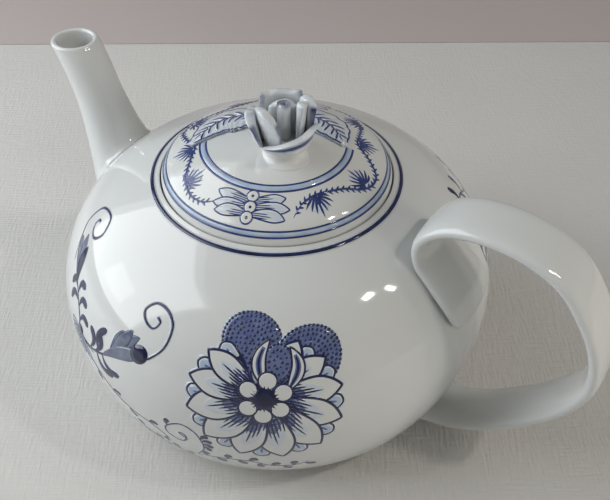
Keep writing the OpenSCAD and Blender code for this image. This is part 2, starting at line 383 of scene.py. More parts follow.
pot = make("pot_shell", *lathe(np.vstack([base[:-1], meridian[:-1], rim, inside[1:]]), 192), white, "pot",
           "white_glaze", ["pot_body"])
STRAINER_ROWS = ((-6.6, (-6, 0, 6)), (-2.2, (-9, -3, 3, 9)), (2.2, (-6, 0, 6)), (6.6, (-9, -3, 3, 9)))
drill(pot, [((-55, y, 58 + dz), (-1, 0, 0), 2.2, 40) for dz, row in STRAINER_ROWS for y in row])


# ---- Tubes that stand on the body: spout and handle
def cr_fixed(points, m):
    """Same points per stretch as the CAD has, only finer."""
    p = np.array(points, float)
    out = []
    for i in range(len(p) - 1):
        a, d = p[max(i - 1, 0)], p[min(i + 2, len(p) - 1)]
        out += [catmull(a, p[i], p[i + 1], d, j / m) for j in range(m)]
    return np.array(out + [p[-1]])


def depth_in_body(p):
    """Distance of points outside the body's skin; negative inside it."""
    r, z = np.hypot(p[..., 0], p[..., 1]), p[..., 2]
    q = np.stack([r, z], -1).reshape(-1, 2)
    k = np.linalg.norm(q[:, None] - meridian[None], axis=2).argmin(1)
    n = np.stack([slope[k, 1], -slope[k, 0]], 1)
    return ((q - meridian[k]) * n).sum(1).reshape(r.shape)


SPOUT_LINE = cr_fixed([[63, 44], [71, 58], [76.5, 74], [81, 89], [85.2, 101.5], MOUTH[:2]], 40)
ROOT_R, ROOT_POWER, ROOT_SHARE, LEAN = 21.5, 1.7, 0.7, 36
SPOUT_SINK = 1.4    # depth to which the tube's wall reaches into the body
LIP_DROP = 0.8


def spout_point(t, a, d):
    """Point of the spout at a share t of its length and an angle a, drawn in by d."""
    flare = max(0, 1 - t / ROOT_SHARE) ** ROOT_POWER
    w = MOUTH[2] + (ROOT_R - MOUTH[2]) * flare - d
    h = MOUTH[2] + (ROOT_R - 4 - MOUTH[2]) * flare - d
    k = t * (len(SPOUT_LINE) - 1)
    i = min(int(k), len(SPOUT_LINE) - 2)
    x, z = SPOUT_LINE[i] + (SPOUT_LINE[i + 1] - SPOUT_LINE[i]) * (k - i)
    lean = math.radians(LEAN * (1 - t))
    q = h * math.cos(a)
    return np.array([-(x + q * math.cos(lean)), w * math.sin(a), z - q * math.sin(lean)])


def spout_start(a, d):
    """Share of the length where the tube's wall comes out of the body."""
    ts = np.linspace(0, 1, 240)
    out = depth_in_body(np.array([spout_point(t, a, d) for t in ts])) > -SPOUT_SINK
    return ts[max(np.argmax(out), 1)]


def build_spout():
    n, m = 72, 90
    angles = np.linspace(0, 2 * np.pi, n, endpoint=False)
    noise = np.random.default_rng(7).normal(size=n)
    lumps = np.convolve(np.tile(noise, 3), np.ones(3) / 3, "same")[n:2 * n]
    walls = np.zeros((2, m, n, 3))
    for wall, d in zip(walls, (0, SPOUT_WALL)):
        for j, a in enumerate(angles):
            start = spout_start(a, d)
            for i in range(m):
                wall[i, j] = spout_point(start + (1 - start) * (i / (m - 1)) ** 1.25, a, d)
    outer, inner = walls
    centre = outer.mean(1, keepdims=True)
    push = 1.5 * np.exp(-np.maximum(depth_in_body(outer), 0) / 1.6) * (1 + 0.35 * lumps[None, :])
    outer += unit(outer - centre) * push[..., None]
    for i in range(1, 8):
        walls[:, -i] -= [0, 0, LIP_DROP * (1 - i / 8)]
    lip = []
    half = SPOUT_WALL / 2
    for e in np.linspace(0, np.pi, 7)[1:-1]:
        ring = np.array([spout_point(1, a, half - half * math.cos(e)) for a in angles])
        lip.append(ring + [0, 0, half * 0.75 * math.sin(e) - LIP_DROP])
    rings = list(outer) + lip + list(inner[::-1])
    last = (len(rings) - 1) * n
    faces = grid_faces(len(rings), n, flip=True)
    faces += [[j, (j + 1) % n, last + (j + 1) % n, last + j] for j in range(n)]
    make("spout_tube", np.concatenate(rings), faces, fill_white, "pot", "white_glaze", ["spout"])


HANDLE_LINE = cr_fixed([
    [77.5, 60], [74, 68.8], [67, 75.6], [60.6, 81.6], [59.2, 88.6], [64, 95], [73, 98.8], [84, 99.6],
    [95, 97.6], [105, 92.4], [112.5, 83.5], [118, 74], [120.8, 64], [120.5, 54.5], [115.5, 42.5], [107, 31],
    [98, 22], [89, 14.5], [79, 9.2], [66, 6.4]], 10)
STRAP_W, SCROLL_W, STRAP_T = 10.2, 15.5, 5.6
SCROLL_END = 15     # points over which the end of the strap is rounded
STRAP_DISH = 0.3    # depth of the hollow along the outside of the strap


def build_handle():
    line, n = HANDLE_LINE, 48
    m = len(line)
    normal = left(unit(np.gradient(line, axis=0)))
    a = np.linspace(0, 2 * np.pi, n, endpoint=False)
    ca, sa = np.cos(a), np.sin(a)
    sx, sz = np.sign(ca) * np.abs(ca) ** 0.7, np.sign(sa) * np.abs(sa) ** 0.8
    rings = []
    for i in range(m):
        end = math.sqrt(1 - (1 - min(1, (i + 0.3) / SCROLL_END)) ** 2)
        w = STRAP_W + (SCROLL_W - STRAP_W) * max(0, 1 - i / (m - 1) / 0.3) ** 1.3
        w *= 0.28 + 0.72 * end
        q = STRAP_T / 2 * (0.35 + 0.65 * end) * sz - STRAP_DISH * (1 - sx**2) * (sa > 0)
        rings.append(np.stack([line[i, 0] + q * normal[i, 0], w * sx, line[i, 1] + q * normal[i, 1]], -1))
    verts = np.concatenate(rings)
    faces = grid_faces(m, n) + [list(range(n))[::-1], [(m - 1) * n + j for j in range(n)]]
    low_end = np.repeat(np.arange(m), n) > m * 0.8
    push = np.where(low_end, 1.6 * np.exp(-np.maximum(depth_in_body(verts), 0) / 1.8), 0)
    centre = np.repeat(np.stack([line[:, 0], 0 * line[:, 0], line[:, 1]], -1), n, 0)
    verts = verts + unit(verts - centre) * push[:, None]
    make("strap_handle", verts, faces, fill_white, "pot", "white_glaze", ["handle"])


build_spout()
build_handle()

# ---- Lid
dome_r = np.linspace(0, LID_TOP_R - 1.4, 30)
dome = np.stack([dome_r, lid_height(dome_r)], 1)
under_r = np.linspace(FLANGE_R - 4.2, 0, 16)
under = np.stack([under_r, lid_height(under_r) - LID_WALL], 1)
edge = rounded([dome[-1], (LID_TOP_R, EDGE_Z - 0.4), (LID_R - 0.8, EDGE_Z - 2.2), (LID_R, RIM_Z + 0.4),
                (LID_R, LID_BASE), (FLANGE_R, LID_BASE), (FLANGE_R, FLANGE_Z), (FLANGE_R - 2.6, FLANGE_Z),
                (FLANGE_R - 3.2, EDGE_Z - LID_WALL - 2), under[0]], 0.6)
lid = make("lid_shell", *lathe(np.vstack([dome, edge[1:], under[1:]])[::-1], 160), fill_white, "lid",
           "white_glaze", ["lid"])
VENT_R, VENT_OUT = 1.3, 16
vent_at = turn_plan(np.array([-VENT_OUT, 0]), LID_TURN)
drill(lid, [((*vent_at, lid_height(VENT_OUT) - 8), (0.0001, 0, 1), VENT_R, 16)])

# ---- Knob: rosebud
CUP_STEM = 4.6      # height of the cup's edge over the lid
cup_at = np.array([*turn_plan(np.array(ROSE), LID_TURN), lid_height(ROSE[0]) + CUP_STEM])


def on_cup(p):
    """Local points of the bud, front along +X, set on the cup."""
    p = np.asarray(p, float)
    return np.concatenate([turn_plan(p, LID_TURN), p[..., 2:]], -1) + cup_at


def build_cup():
    prof = smooth_line([(9.6, -6.2), (8, -5.5), (7.1, -4.6), (6.9, -3.6), (7.5, -2), (CUP_R - 0.1, -0.3)], 26)
    n = 72
    w = on_cup(turned(prof, n))
    skin = lid_height(np.hypot(w[..., 0], w[..., 1]))
    w[..., 2] = np.maximum(w[..., 2], skin - 0.25 - 0.05 * np.arange(len(prof))[::-1][:, None])
    low = w[0] - [0, 0, 1.2]
    rings = [low] + list(w)
    k = len(rings)
    verts = np.vstack(rings + [[low.mean(0)], [cup_at + [0, 0, 0.1]]])
    make("bud_cup", verts, grid_faces(k, n) + fans(k, n), fill_white, "lid", "white_glaze", ["knob_stem"])


def build_petal(name, node, seed, a, spread, r0, r1, h, t, dip, curl, tilt, rim):
    """Thick curved petal that swells into a rolled edge. tilt raises its far side; rim paints its edge and a
    band below it on the outside."""
    n, m = 13, 14
    rng = np.random.default_rng(seed)
    wave = np.convolve(rng.normal(size=n + 2), (0.25, 0.5, 0.25), "valid") * 0.5
    front, back, rim_f, rim_b = [], [], [], []
    for i in range(m):
        v = i / (m - 1)
        r = r0 + (r1 - r0) * math.sin(math.pi / 2 * v**0.8) + curl * max(0, v - 0.6) ** 2 * 7
        s = math.radians(spread) * (0.8 + 0.2 * math.sin(math.pi * v**0.7))
        for j in range(n):
            u = 2 * j / (n - 1) - 1
            ang = math.radians(a) + s * u
            tall = h * (1 + tilt * u)
            z = -1.4 + (tall + 1.4) * v * (1 - dip * v * u * u) + wave[j] * v * v * 0.7
            thick = t * (0.5 + 0.5 * math.sqrt(v)) * (1 - 0.45 * u**4)
            front.append([r * math.cos(ang), r * math.sin(ang), z])
            back.append([(r - thick) * math.cos(ang), (r - thick) * math.sin(ang), z])
            edge = abs(u) ** 5 * min(1, v * 2)
            band = math.exp(-(((v - 0.6) / 0.19) ** 2)) * (1 - 0.4 * u * u)
            rim_f.append(1.25 * max(edge * rim[0], band * rim[1]))
            rim_b.append(rim[0] * (0.9 * abs(u) ** 7 * min(1, v * 2) + 0.35 * v**8))
    piece = make(name, on_cup(front + back), slab_faces(m, n), petal_glaze, "lid", "rose_glaze", [node],
                 rim=rim_f + rim_b)
    mod = piece.modifiers.new("smooth", "SUBSURF")
    mod.levels = mod.render_levels = 2
    apply(piece)


# angle, half-spread, radii at foot and edge, height, thickness, dip, curl, tilt, painted edge and band
PETAL_ROWS = {
    "inner": [(-54, 46, 6.2, 8.8, 12.8, 3.3, 0.16, 0.6, -0.1, (0.9, 0.3)),
              (88, 46, 6.0, 7.2, 13.6, 3.4, 0.12, 0.3, -0.12, (0.5, 0.2)),
              (184, 62, 5.4, 6.2, 11.0, 2.8, 0.1, 0, 0, (0.4, 0))],
    "outer": [(20, 72, 8.6, 10.4, 5.0, 2.8, 0.08, 1.3, 0.55, (0.3, 1.3)),
              (-94, 42, 8.6, 12.0, 9.4, 3.4, 0.18, 0.8, 0, (1.0, 0.5)),
              (186, 56, 8.8, 9.8, 12.4, 3.0, -0.04, 0.5, 0, (0.8, 0.3)),
              (112, 38, 8.6, 10.0, 12.6, 3.3, 0.1, 0.5, 0, (1.1, 0.3))],
}
FIRST_SEED = {"inner": 11, "outer": 31}


def build_heart():
    """Rolled sheet in the middle of the bud."""
    turns, m, k = 2.1, 70, 12
    half, tall = 0.3, 13
    t = np.linspace(0, 1, m)[:, None]
    ang = math.radians(-150) + turns * 2 * np.pi * t
    z = np.linspace(0, tall, k)
    z = np.concatenate([z, z[::-1]])
    r = (0.55 + 1.75 * t + np.repeat([half, -half], k)) * (1 - np.maximum(0, z - 11.8) * 0.12)
    verts = np.stack([r * np.cos(ang), r * np.sin(ang), z * (1 - 0.03 * (1 - t))], -1).reshape(-1, 3)
    n = 2 * k
    faces = grid_faces(m, n) + [list(range(n)), [(m - 1) * n + j for j in range(n)][::-1]]
    rim_f = np.tile(np.concatenate([np.linspace(0, 1, k) ** 8, np.linspace(1, 0, k) ** 3]), m)
    make("bud_heart", on_cup(verts), faces, petal_glaze, "lid", "rose_glaze", ["rose_heart"], rim=rim_f)


build_cup()
build_heart()
for kind, petals in PETAL_ROWS.items():
    for i, petal in enumerate(petals):
        build_petal(f"bud_{kind}_{i + 1}", f"rose_{kind}_petal_{i + 1}", FIRST_SEED[kind] + i, *petal)

# ---- Leaves on the lid
LEAVES = {
    "leaf_left": ([[-6, -2], [-10.5, -10], [-10.3, -19], [-1.7, -29.4]], 8.6, -1),
    "leaf_right": ([[-6, 5], [-10, 11], [-6, 18], [4.2, 23]], 8.8, 1),
}
LEAF_T = 1.5


class Leaf:
    """Applied leaf: a curved midrib in the plan of the lid and a half-width along it."""

    def __init__(self, points, width):
        self.rib = smooth_line(points, 90)
        self.length = np.linalg.norm(np.diff(self.rib, axis=0), axis=1).sum()
        self.normal = left(unit(np.gradient(self.rib, axis=0)))
        self.width = width

    def half(self, s):
        s = np.clip(s, 0, 1)
        full = self.width * (0.12 + 0.88 * np.sin(np.pi * s**0.85)) + 0.15
        teeth = 0.085 * np.abs(np.sin(s * self.length / 3.6 * np.pi)) + 0.92
        return full * teeth

    def at(self, s, q):
        """Plan point at a share s of the midrib and a share q of the half-width."""
        k = np.clip(s, 0, 1) * (len(self.rib) - 1)
        i = np.minimum(k.astype(int), len(self.rib) - 2)
        f = (k - i)[..., None]
        rib = self.rib[i] * (1 - f) + self.rib[i + 1] * f
        nor = unit(self.normal[i] * (1 - f) + self.normal[i + 1] * f)
        return turn_plan(rib + nor * (q * self.half(s))[..., None], LID_TURN)

    def relief(self, s, q):
        pillow = 0.62 + 0.38 * (1 - q * q)
        vein = -0.16 * np.exp(-((q / 0.08) ** 2)) + 0.05 * np.cos(s * self.length * 2.2 - 3 * np.abs(q))
        return LEAF_T * (pillow + vein * (1 - np.abs(q) ** 3)) * (0.65 + 0.35 * np.minimum(1, s * 5))

    def chart(self, uv):
        """Chart with u along the midrib and v across it, in mm."""
        s = uv[..., 0] / self.length
        q = np.clip(uv[..., 1] / self.half(s), -1, 1)
        return on_lid(self.at(s, q), self.relief(s, q))

    def build(self, name):
        m, n = 80, 33
        s = np.linspace(0, 1, m)[:, None] * np.ones(n)
        q = np.linspace(-1, 1, n)[None] * np.ones((m, 1))
        xy = self.at(s, q)
        top = on_lid(xy, self.relief(s, q))[0].reshape(-1, 3)
        low = on_lid(xy, -0.25)[0].reshape(-1, 3)
        flip = bool(np.cross(top[n] - top[0], top[1] - top[0])[2] > 0)
        rim_f = (np.abs(q) ** 14).reshape(-1)
        make(f"{name}_relief", np.vstack([top, low]), slab_faces(m, n, flip), leaf_glaze, "lid", "leaf_glaze",
             [name], rim=np.concatenate([rim_f, rim_f]))


# ---- Painting: thin closed films that lie on the glazed surface, one object per colour
FILM_DEPTH = 0.06   # how far a film reaches under the surface


class Film:
    """Patches of one colour on a chart; h is how far a patch stands on the surface, in mm."""

    def __init__(self):
        self.chart = None
        self.verts, self.faces, self.smooth, self.count, self.lift = [], [], [], 0, 0

    def add(self, p, normal, h, faces, tops):
        """Points lifted to h and sunk to the depth of the film, with faces whose first ones are its top."""
        self.lift += 1
        h = h + 0.0001 * (self.lift % 7)
        self.verts += [(p + normal * h).reshape(-1, 3), (p - normal * FILM_DEPTH).reshape(-1, 3)]
        self.faces.append(faces + self.count)
        self.smooth += [True] * tops + [False] * (len(faces) - tops)
        self.count += 2 * p.size // 3

    def patch(self, p, normal, h):
        m, n = p.shape[:2]
        i, j = min(m // 2 - (m > 2), m - 2), min(n // 2 - (n > 2), n - 2)
        turn = np.dot(np.cross(p[i + 1, j] - p[i, j], p[i, j + 1] - p[i, j]), normal[i, j]) > 0
        self.add(p, normal, h, slab_faces(m, n, bool(turn)), (m - 1) * (n - 1))

    def stroke(self, points, width, h, ends=(0.3, 0.3), n=8):
        """Brush stroke along points; ends are its widths at both ends as a share of width."""
        points = np.array(points, float)
        run = np.linalg.norm(np.diff(points, axis=0), axis=1).sum()
        p = smooth_line(points, max(n, min(int(run / 0.55), 220)))
        t = np.linspace(0, 1, len(p))
        nor = left(unit(np.gradient(p, axis=0)))
        lead = np.clip(t / 0.18, 0, 1) ** 0.6
        tail = np.clip((1 - t) / 0.22, 0, 1) ** 0.6
        w = width / 2 * np.minimum(ends[0] + (1 - ends[0]) * lead, ends[1] + (1 - ends[1]) * tail)
        self.ribbon(p, nor, w, 3, h)

    def ribbon(self, middle_line, nor, half, cols, h):
        across = half[:, None] * np.linspace(-1, 1, cols)
        self.patch(*self.chart(middle_line[:, None] + nor[:, None] * across[..., None]), h)

    def blade(self, base, tip, half, h, bend=0.0, peak=0.6, root=0.3, sharp=0.75, stop=1.0, cols=7):
        """Petal or leaf from base to tip; half is its largest half-width. Returns its outline."""
        b, e = np.array(base, float), np.array(tip, float)
        d = e - b
        t = np.linspace(0, stop, max(14, int(np.linalg.norm(d) / 0.6)))
        mid = b + d * t[:, None] + left(d) * (bend * np.sin(np.pi * t))[:, None]
        nor = left(unit(np.gradient(mid, axis=0)))
        w = half * blade_width(t, peak, root, sharp)
        self.ribbon(mid, nor, w, cols, h)
        return np.vstack([mid + nor * w[:, None], (mid - nor * w[:, None])[::-1]])

    def disc(self, centre, r, h, n=12, rings=1):
        c = np.array(centre, float)
        self.fan([c] + [c + circle(n) * r * (i + 1) / rings for i in range(rings)], h)

    def fan(self, rings, h):
        """Closed disc-like patch from a middle point and rings round it."""
        n = len(rings[1])
        p, nor = self.chart(np.vstack([np.atleast_2d(r) for r in rings]))
        k = len(p)
        j = np.arange(n)
        nx = (j + 1) % n
        top = [np.stack([0 * j, 1 + j, 1 + nx, 1 + nx], -1)]
        for i in range(len(rings) - 2):
            a, c = 1 + i * n, 1 + (i + 1) * n
            top.append(np.stack([a + j, c + j, c + nx, a + nx], -1))
        top = np.concatenate(top)
        turn = np.dot(np.cross(p[1] - p[0], p[1 + n // 4] - p[0]), nor[0]) < 0
        low = top[:, ::-1] + k
        e = 1 + (len(rings) - 2) * n
        wall = np.stack([e + nx, e + j, e + j + k, e + nx + k], -1)
        f = np.concatenate([top, low, wall])
        self.add(p, nor, h, f[:, ::-1] if turn else f, len(top))

    def build(self, name, material, body, slot):
        faces = [list(dict.fromkeys(f.tolist())) for f in np.concatenate(self.faces)]
        make(name, np.vstack(self.verts), faces, material, body, slot, smooth=self.smooth)


def blade_width(t, peak, root, sharp):
    rise = root + (1 - root) * np.sin(np.pi / 2 * np.clip(t / peak, 0, 1))
    fall = np.maximum(1 - (np.clip(t - peak, 0, 1) / (1 - peak)) ** 2, 0) ** sharp
    return np.where(t < peak, rise, fall)


def closed_line(points):
    return np.vstack([points, points[:1]])


HALO_H = 0.012      # the pale bleed lies under all other paint


class Brush:
    """The films of one body of the pot, and the marks that use several of them."""

    def __init__(self, body, slot, prefix):
        self.body, self.slot, self.prefix = body, slot, prefix
        self.films = {k: Film() for k in ("white", "wash", "middle", "grey", "halo", "dark", "deep")}

    def __getattr__(self, key):
        return self.films[key]

    def on(self, chart):
        for film in self.films.values():
            film.chart = chart

    def line(self, points, width, h, **kw):
        """Cobalt line with the pale bleed of the glaze beside it."""
        self.halo.stroke(points, width + 0.55, HALO_H, **kw)
        self.dark.stroke(points, width, h, **kw)

    def edge(self, outline, width, h, n):
        """Cobalt line of even width along an outline."""
        self.dark.stroke(outline, width, h, ends=(1, 1), n=n)

    def spiral(self, centre, r0, r1, a0, turns, width, h, lead):
        """Tendril: points of lead, then a spiral that winds in from radius r1 to r0."""
        t = np.linspace(0, 1, 26)
        a = math.radians(a0) + turns * 2 * np.pi * t
        r = r1 + (r0 - r1) * t**0.9
        p = np.array(centre) + np.stack([r * np.cos(a), r * np.sin(a)], -1)
        self.line(np.vstack([np.array(lead), p]), width, h, ends=(0.5, 0.9), n=90)

    def drop(self, root, tip, bend, size, h):
        """Comma-shaped leaf: a stalk that thickens to a round end."""
        self.halo.blade(root, tip, size + 0.3, HALO_H, bend=bend, peak=0.76, root=0.3, sharp=0.45)
        self.dark.blade(root, tip, size, h, bend=bend, peak=0.76, root=0.14, sharp=0.45)

    def drops(self, rows, size, h):
        for root, tip, bend in rows:
            self.drop(root, tip, bend, size, h)

    def leafy(self, path, count, out, ahead, size, h, first=2, every=2):
        """Drops on both sides of a path by turns, one at every so many of its points."""
        spots = smooth_line(path, count)
        for i in range(first, count - 1, every):
            d = unit(spots[i + 1] - spots[i - 1])
            s = 1 if (i // every) % 2 else -1
            self.drop(spots[i], spots[i] + left(d) * s * out + d * ahead, 0.2 * s, size, h)

    def build(self):
        colours = {"white": fill_white, "wash": wash, "middle": middle, "grey": grey_blue, "halo": halo,
                   "dark": dark if self.body == "pot" else lid_dark, "deep": deep}
        for key, film in self.films.items():
            if film.faces:
                film.build(f"{self.prefix}_{key}", colours[key], self.body, self.slot)


pot_brush = Brush("pot", "white_glaze", "pot_paint")
lid_brush = Brush("lid", "white_glaze", "lid_paint")


# ---- Main flower on the front of the body
DOT_SPACING = 1.42


def stipple(b, centre, rx, ry, h, seed):
    """Lobe of mid blue covered with dark dots, and a row of dots round its edge."""
    rng = np.random.default_rng(seed)
    ring = circle(60) * [rx, ry]
    c = np.array(centre, float)
    steps = np.linspace(0, 1, int(rx / 0.75) + 2)[1:]
    b.wash.fan([c] + [c + ring * f * 1.03 for f in steps], h)
    b.middle.fan([c] + [c + ring * f * 0.96 for f in steps], h + 0.003)
    b.edge(closed_line(c + ring * 0.985), 0.3, h + 0.005, n=70)
    count = int(2 * np.pi * (rx + ry) / 2 / 1.35)
    for p in circle(count) * [rx, ry]:
        b.dark.disc(c + p * 0.98, 0.5 + 0.05 * rng.normal(), h + 0.007, n=8)
    for k in range(1, int(rx / DOT_SPACING) + 1):
        f = 1 - k * DOT_SPACING / rx
        if f <= 0.02:
            continue
        count = max(1, int(2 * np.pi * f * (rx + ry) / 2 / DOT_SPACING))
        turn = rng.uniform(0, 6.28)
        for a in np.linspace(0, 2 * np.pi, count, endpoint=False):
            q = np.array([rx * math.cos(a + turn), ry * math.sin(a + turn)]) * f + rng.normal(size=2) * 0.1
            b.dark.disc(c + q, 0.5 + 0.06 * rng.normal(), h + 0.007, n=8)


FLOWER_AT = (-59.9, 59.5)          # azimuth and height
PETALS, PETAL_FIRST, PETAL_STEP = 11, -30, 27.7
SCALLOP = [(-5, 2.5), (-1.8, 2.7), (-0.2, 2.1), (0.9, 0), (-0.2, -2.1), (-1.8, -2.7), (-5, -2.5)]


def petal_reach(angle):
    return 24.7 - 5 * math.cos(angle)


def paint_flower():
    b = pot_brush
    b.on(body_chart(*FLOWER_AT))
    rng = np.random.default_rng(3)
    stipple(b, (-4, 17.2), 9.2, 9.4, 0.02, 5)
    stipple(b, (13.2, 11.6), 10.4, 10.6, 0.03, 6)
    for k in range(PETALS):
        gap = math.radians(PETAL_FIRST - PETAL_STEP * (k + 0.5))
        g = spoke(gap)
        gs = left(g)
        r = petal_reach(gap) * 0.95
        b.deep.blade(g * r * 0.45, g * (r * 0.93), 3.0, 0.04, peak=0.62, root=0.4, sharp=0.4)
        tip = [g * (r + up) + gs * out for up, out in SCALLOP]
        b.halo.blade(g * (r - 5), g * (r + 1.7), 3.2, HALO_H, peak=0.5, root=0.8, sharp=0.4)
        b.white.blade(g * (r - 5), g * (r + 0.8), 2.6, 0.044, peak=0.5, root=0.8, sharp=0.35)
        b.wash.blade(g * (r - 5), g * (r + 0.2), 1.9, 0.046, peak=0.5, root=0.8, sharp=0.35)
        b.dark.stroke(tip, 0.66, 0.049, ends=(0.9, 0.9), n=30)
        b.middle.stroke([g * (r - 4.5), g * (r - 1.2)], 0.8, 0.049, n=6)
    for k in range(PETALS):
        angle = math.radians(PETAL_FIRST - PETAL_STEP * k)
        d = spoke(angle)
        side = left(d)
        reach = petal_reach(angle)
        half = 0.2 * reach * (1 + 0.04 * rng.normal())
        h = 0.053 + 0.0085 * k
        shape = dict(peak=0.56, root=0.34, sharp=0.92)
        b.halo.blade(d * 5, d * (reach + 0.9), half + 0.7, 0.014, **shape)
        edge = b.white.blade(d * 5, d * reach, half, h, cols=15, **shape)
        b.edge(edge, 0.86, h + 0.004, n=56)
        b.halo.blade(d * 5.2, d * (reach * 0.78), half * 0.7, h + 0.0015, peak=0.45, root=0.7, sharp=0.8,
                     cols=13)
        b.middle.blade(d * 5, d * (reach * 0.54), half * 0.62, h + 0.0025, peak=0.4, root=0.9, sharp=1.2,
                       cols=13)
        b.deep.blade(d * 4.6, d * (reach * 0.42), half * 0.5, h + 0.0035, peak=0.35, root=0.8, sharp=1.3)
        for i in range(-4, 5):
            top = reach * (0.74 if i == 0 else 0.66 - 0.055 * abs(i)) + rng.normal() * 0.6
            q = i * half * 0.2
            rib = [d * 6.0 + side * q * 0.62, d * (6 + top) / 2 + side * q * 1.02, d * top + side * q * 1.05]
            b.dark.stroke(rib, 0.62, h + 0.0055, ends=(1, 0.12), n=9)


BERRY_R = 2.9


def paint_flower_heart():
    b = pot_brush
    b.on(body_chart(*FLOWER_AT))
    stipple(b, (4.1, 11.3), 4.2, 5.8, 0.148, 9)
    b.deep.disc((0.1, -0.9), 6.2, 0.16, n=48, rings=9)
    for tip, base, bend in (((1.5, 18.4), (-0.6, 5.2), 0.16), ((7.6, 16), (8.0, 3.6), -0.2)):
        edge = b.white.blade(base, tip, 2.1, 0.164, peak=0.36, root=0.5, bend=bend, sharp=0.95)
        b.middle.blade(base, tip, 0.9, 0.1665, peak=0.35, root=0.5, bend=bend, stop=0.8)
        b.dark.blade(base, tip, 0.4, 0.169, peak=0.3, root=0.7, bend=bend, stop=0.75)
        b.edge(edge, 0.6, 0.169, n=50)
    ring = circle(28)
    berries = np.array([(1.1, 5.4), (5.9, 1.5), (5.1, -4.6), (-0.3, -7.2), (-5, -4.4), (-4.8, 2.2)])
    for i, c in enumerate(berries):
        h = 0.173 + 0.005 * i
        b.white.fan([c] + [c + ring * f * BERRY_R for f in (0.25, 0.5, 0.75, 1)], h)
        b.edge(closed_line(c + ring * BERRY_R), 0.55, h + 0.003, n=48)
    c = np.array([0.1, -0.9])
    spikes = 3.3 + 1.5 * (np.arange(44) % 2)
    ring = circle(44)
    b.deep.fan([c] + [c + ring * f for f in (0.8, 1.6, 2.4)] + [c + ring * spikes[:, None]], 0.205)


# ---- Spray of tendrils, pods and leaves on the left of the flower
def calyx(b, base, tips, half, h):
    """Pod of pointed sepals, dark on one side and a thin grey wash on the other."""
    n = len(tips)
    for i, (tip, bend) in enumerate(tips):
        b.halo.blade(base, tip, half + 0.5, HALO_H, peak=0.6, root=0.25, bend=bend, sharp=0.8)
        film = b.grey if i < n - 1 or half > 2.3 else b.deep
        edge = film.blade(base, tip, half, h + 0.006 * i, peak=0.62, root=0.22, bend=bend, sharp=0.85)
        b.edge(edge, 0.24, h + 0.006 * i + 0.004, n=40)


def paint_spray():
    b = pot_brush
    b.on(body_chart(-110, 60))
    h = 0.03
    b.line([(-26, 6), (-29.9, 12.6), (-32.5, 17.8), (-29.4, 25), (-21.4, 27.5), (-17.9, 23.2), (-20, 19.3),
            (-23.2, 18.6), (-26.1, 20.2), (-25.9, 22.6), (-24.3, 23)], 0.8, h, ends=(0.4, 1.3))
    calyx(b, (-17.4, 3.8), (((-29.6, 13.6), -0.06), ((-25.8, 16.8), 0.0), ((-20.8, 15.2), 0.08)), 2.1, h)
    b.line([(-17.4, 4.4), (-15.1, 2.6), (-11.2, -1.4), (-9, -5), (-8.3, -7.8), (-4, -10.4), (2.7, -11.6)],
           0.8, h)
    b.drops([((-15.4, 2.8), (-21.4, 0.6), -0.36), ((-13.9, 2.0), (-9.6, 6.2), 0.4),
             ((-12.2, -0.4), (-19.2, -4.0), -0.34), ((-11, -1.6), (-5.4, 1.4), 0.4),
             ((-8.8, -6), (-2.2, -4.2), 0.36)], 1.3, h)
    heart = (-7.4, -8.8)
    for tip, bend in (((-14.8, -13.4), 0.1), ((-10.4, -16.6), 0.05), ((-4.6, -17.6), -0.05),
                      ((1.2, -16.2), -0.1), ((-16, -9.6), 0.12)):
        edge = b.wash.blade(heart, tip, 1.9, h + 0.01, bend=bend, sharp=0.8)
        b.edge(edge, 0.4, h + 0.02, n=36)
        b.grey.blade(heart, tip, 0.8, h + 0.02, peak=0.4, root=0.5, bend=bend, stop=0.8)
    b.deep.disc(heart, 2.0, h + 0.04, n=16)
    b.line([(-6.5, -10), (0, -10.4), (6.5, -8.4), (11, -5.6), (15.3, -2.1)], 0.9, h)
    b.drops([((0.4, -10.2), (-0.8, -1.6), -0.3), ((3.4, -9.4), (4.2, -0.2), -0.3),
             ((5.6, -8.6), (8.2, 2.6), 0.22), ((4.6, -9.2), (14.0, -13.6), -0.26),
             ((7.6, -7.8), (17.2, -11.2), -0.26)], 1.35, h)
    calyx(b, (11.6, -5.4), (((14.6, 6.6), -0.08), ((21.6, 7.6), 0.06), ((18.0, 8.6), -0.02)), 2.4, h)
    b.grey.blade((8.5, -7.2), (23.4, 1.2), 2.5, h + 0.022, peak=0.72, root=0.2, sharp=0.5, bend=0.06)
    b.deep.disc((23.4, 2.2), 3.5, h + 0.05, n=24, rings=2)
    b.line([(24, 0.2), (27.6, 3), (30.8, 8.6), (29.7, 15.6), (25.3, 19.6), (20.4, 20.4), (18.1, 16.8),
            (20.5, 13.6), (24, 12.6), (25.2, 15.1), (23.4, 16.6)], 0.8, h, ends=(1.4, 1.4))
    chain = [(-10.4, -10.5), (-4, -13.2), (1.8, -16.4), (8, -20.2), (13.9, -24), (21, -26.6), (27.8, -28.1),
             (32, -31), (34.3, -35.6)]
    b.line(chain, 0.7, h)
    b.leafy(chain, 26, 3.0, 3.4, 1.1, h, first=8, every=4)


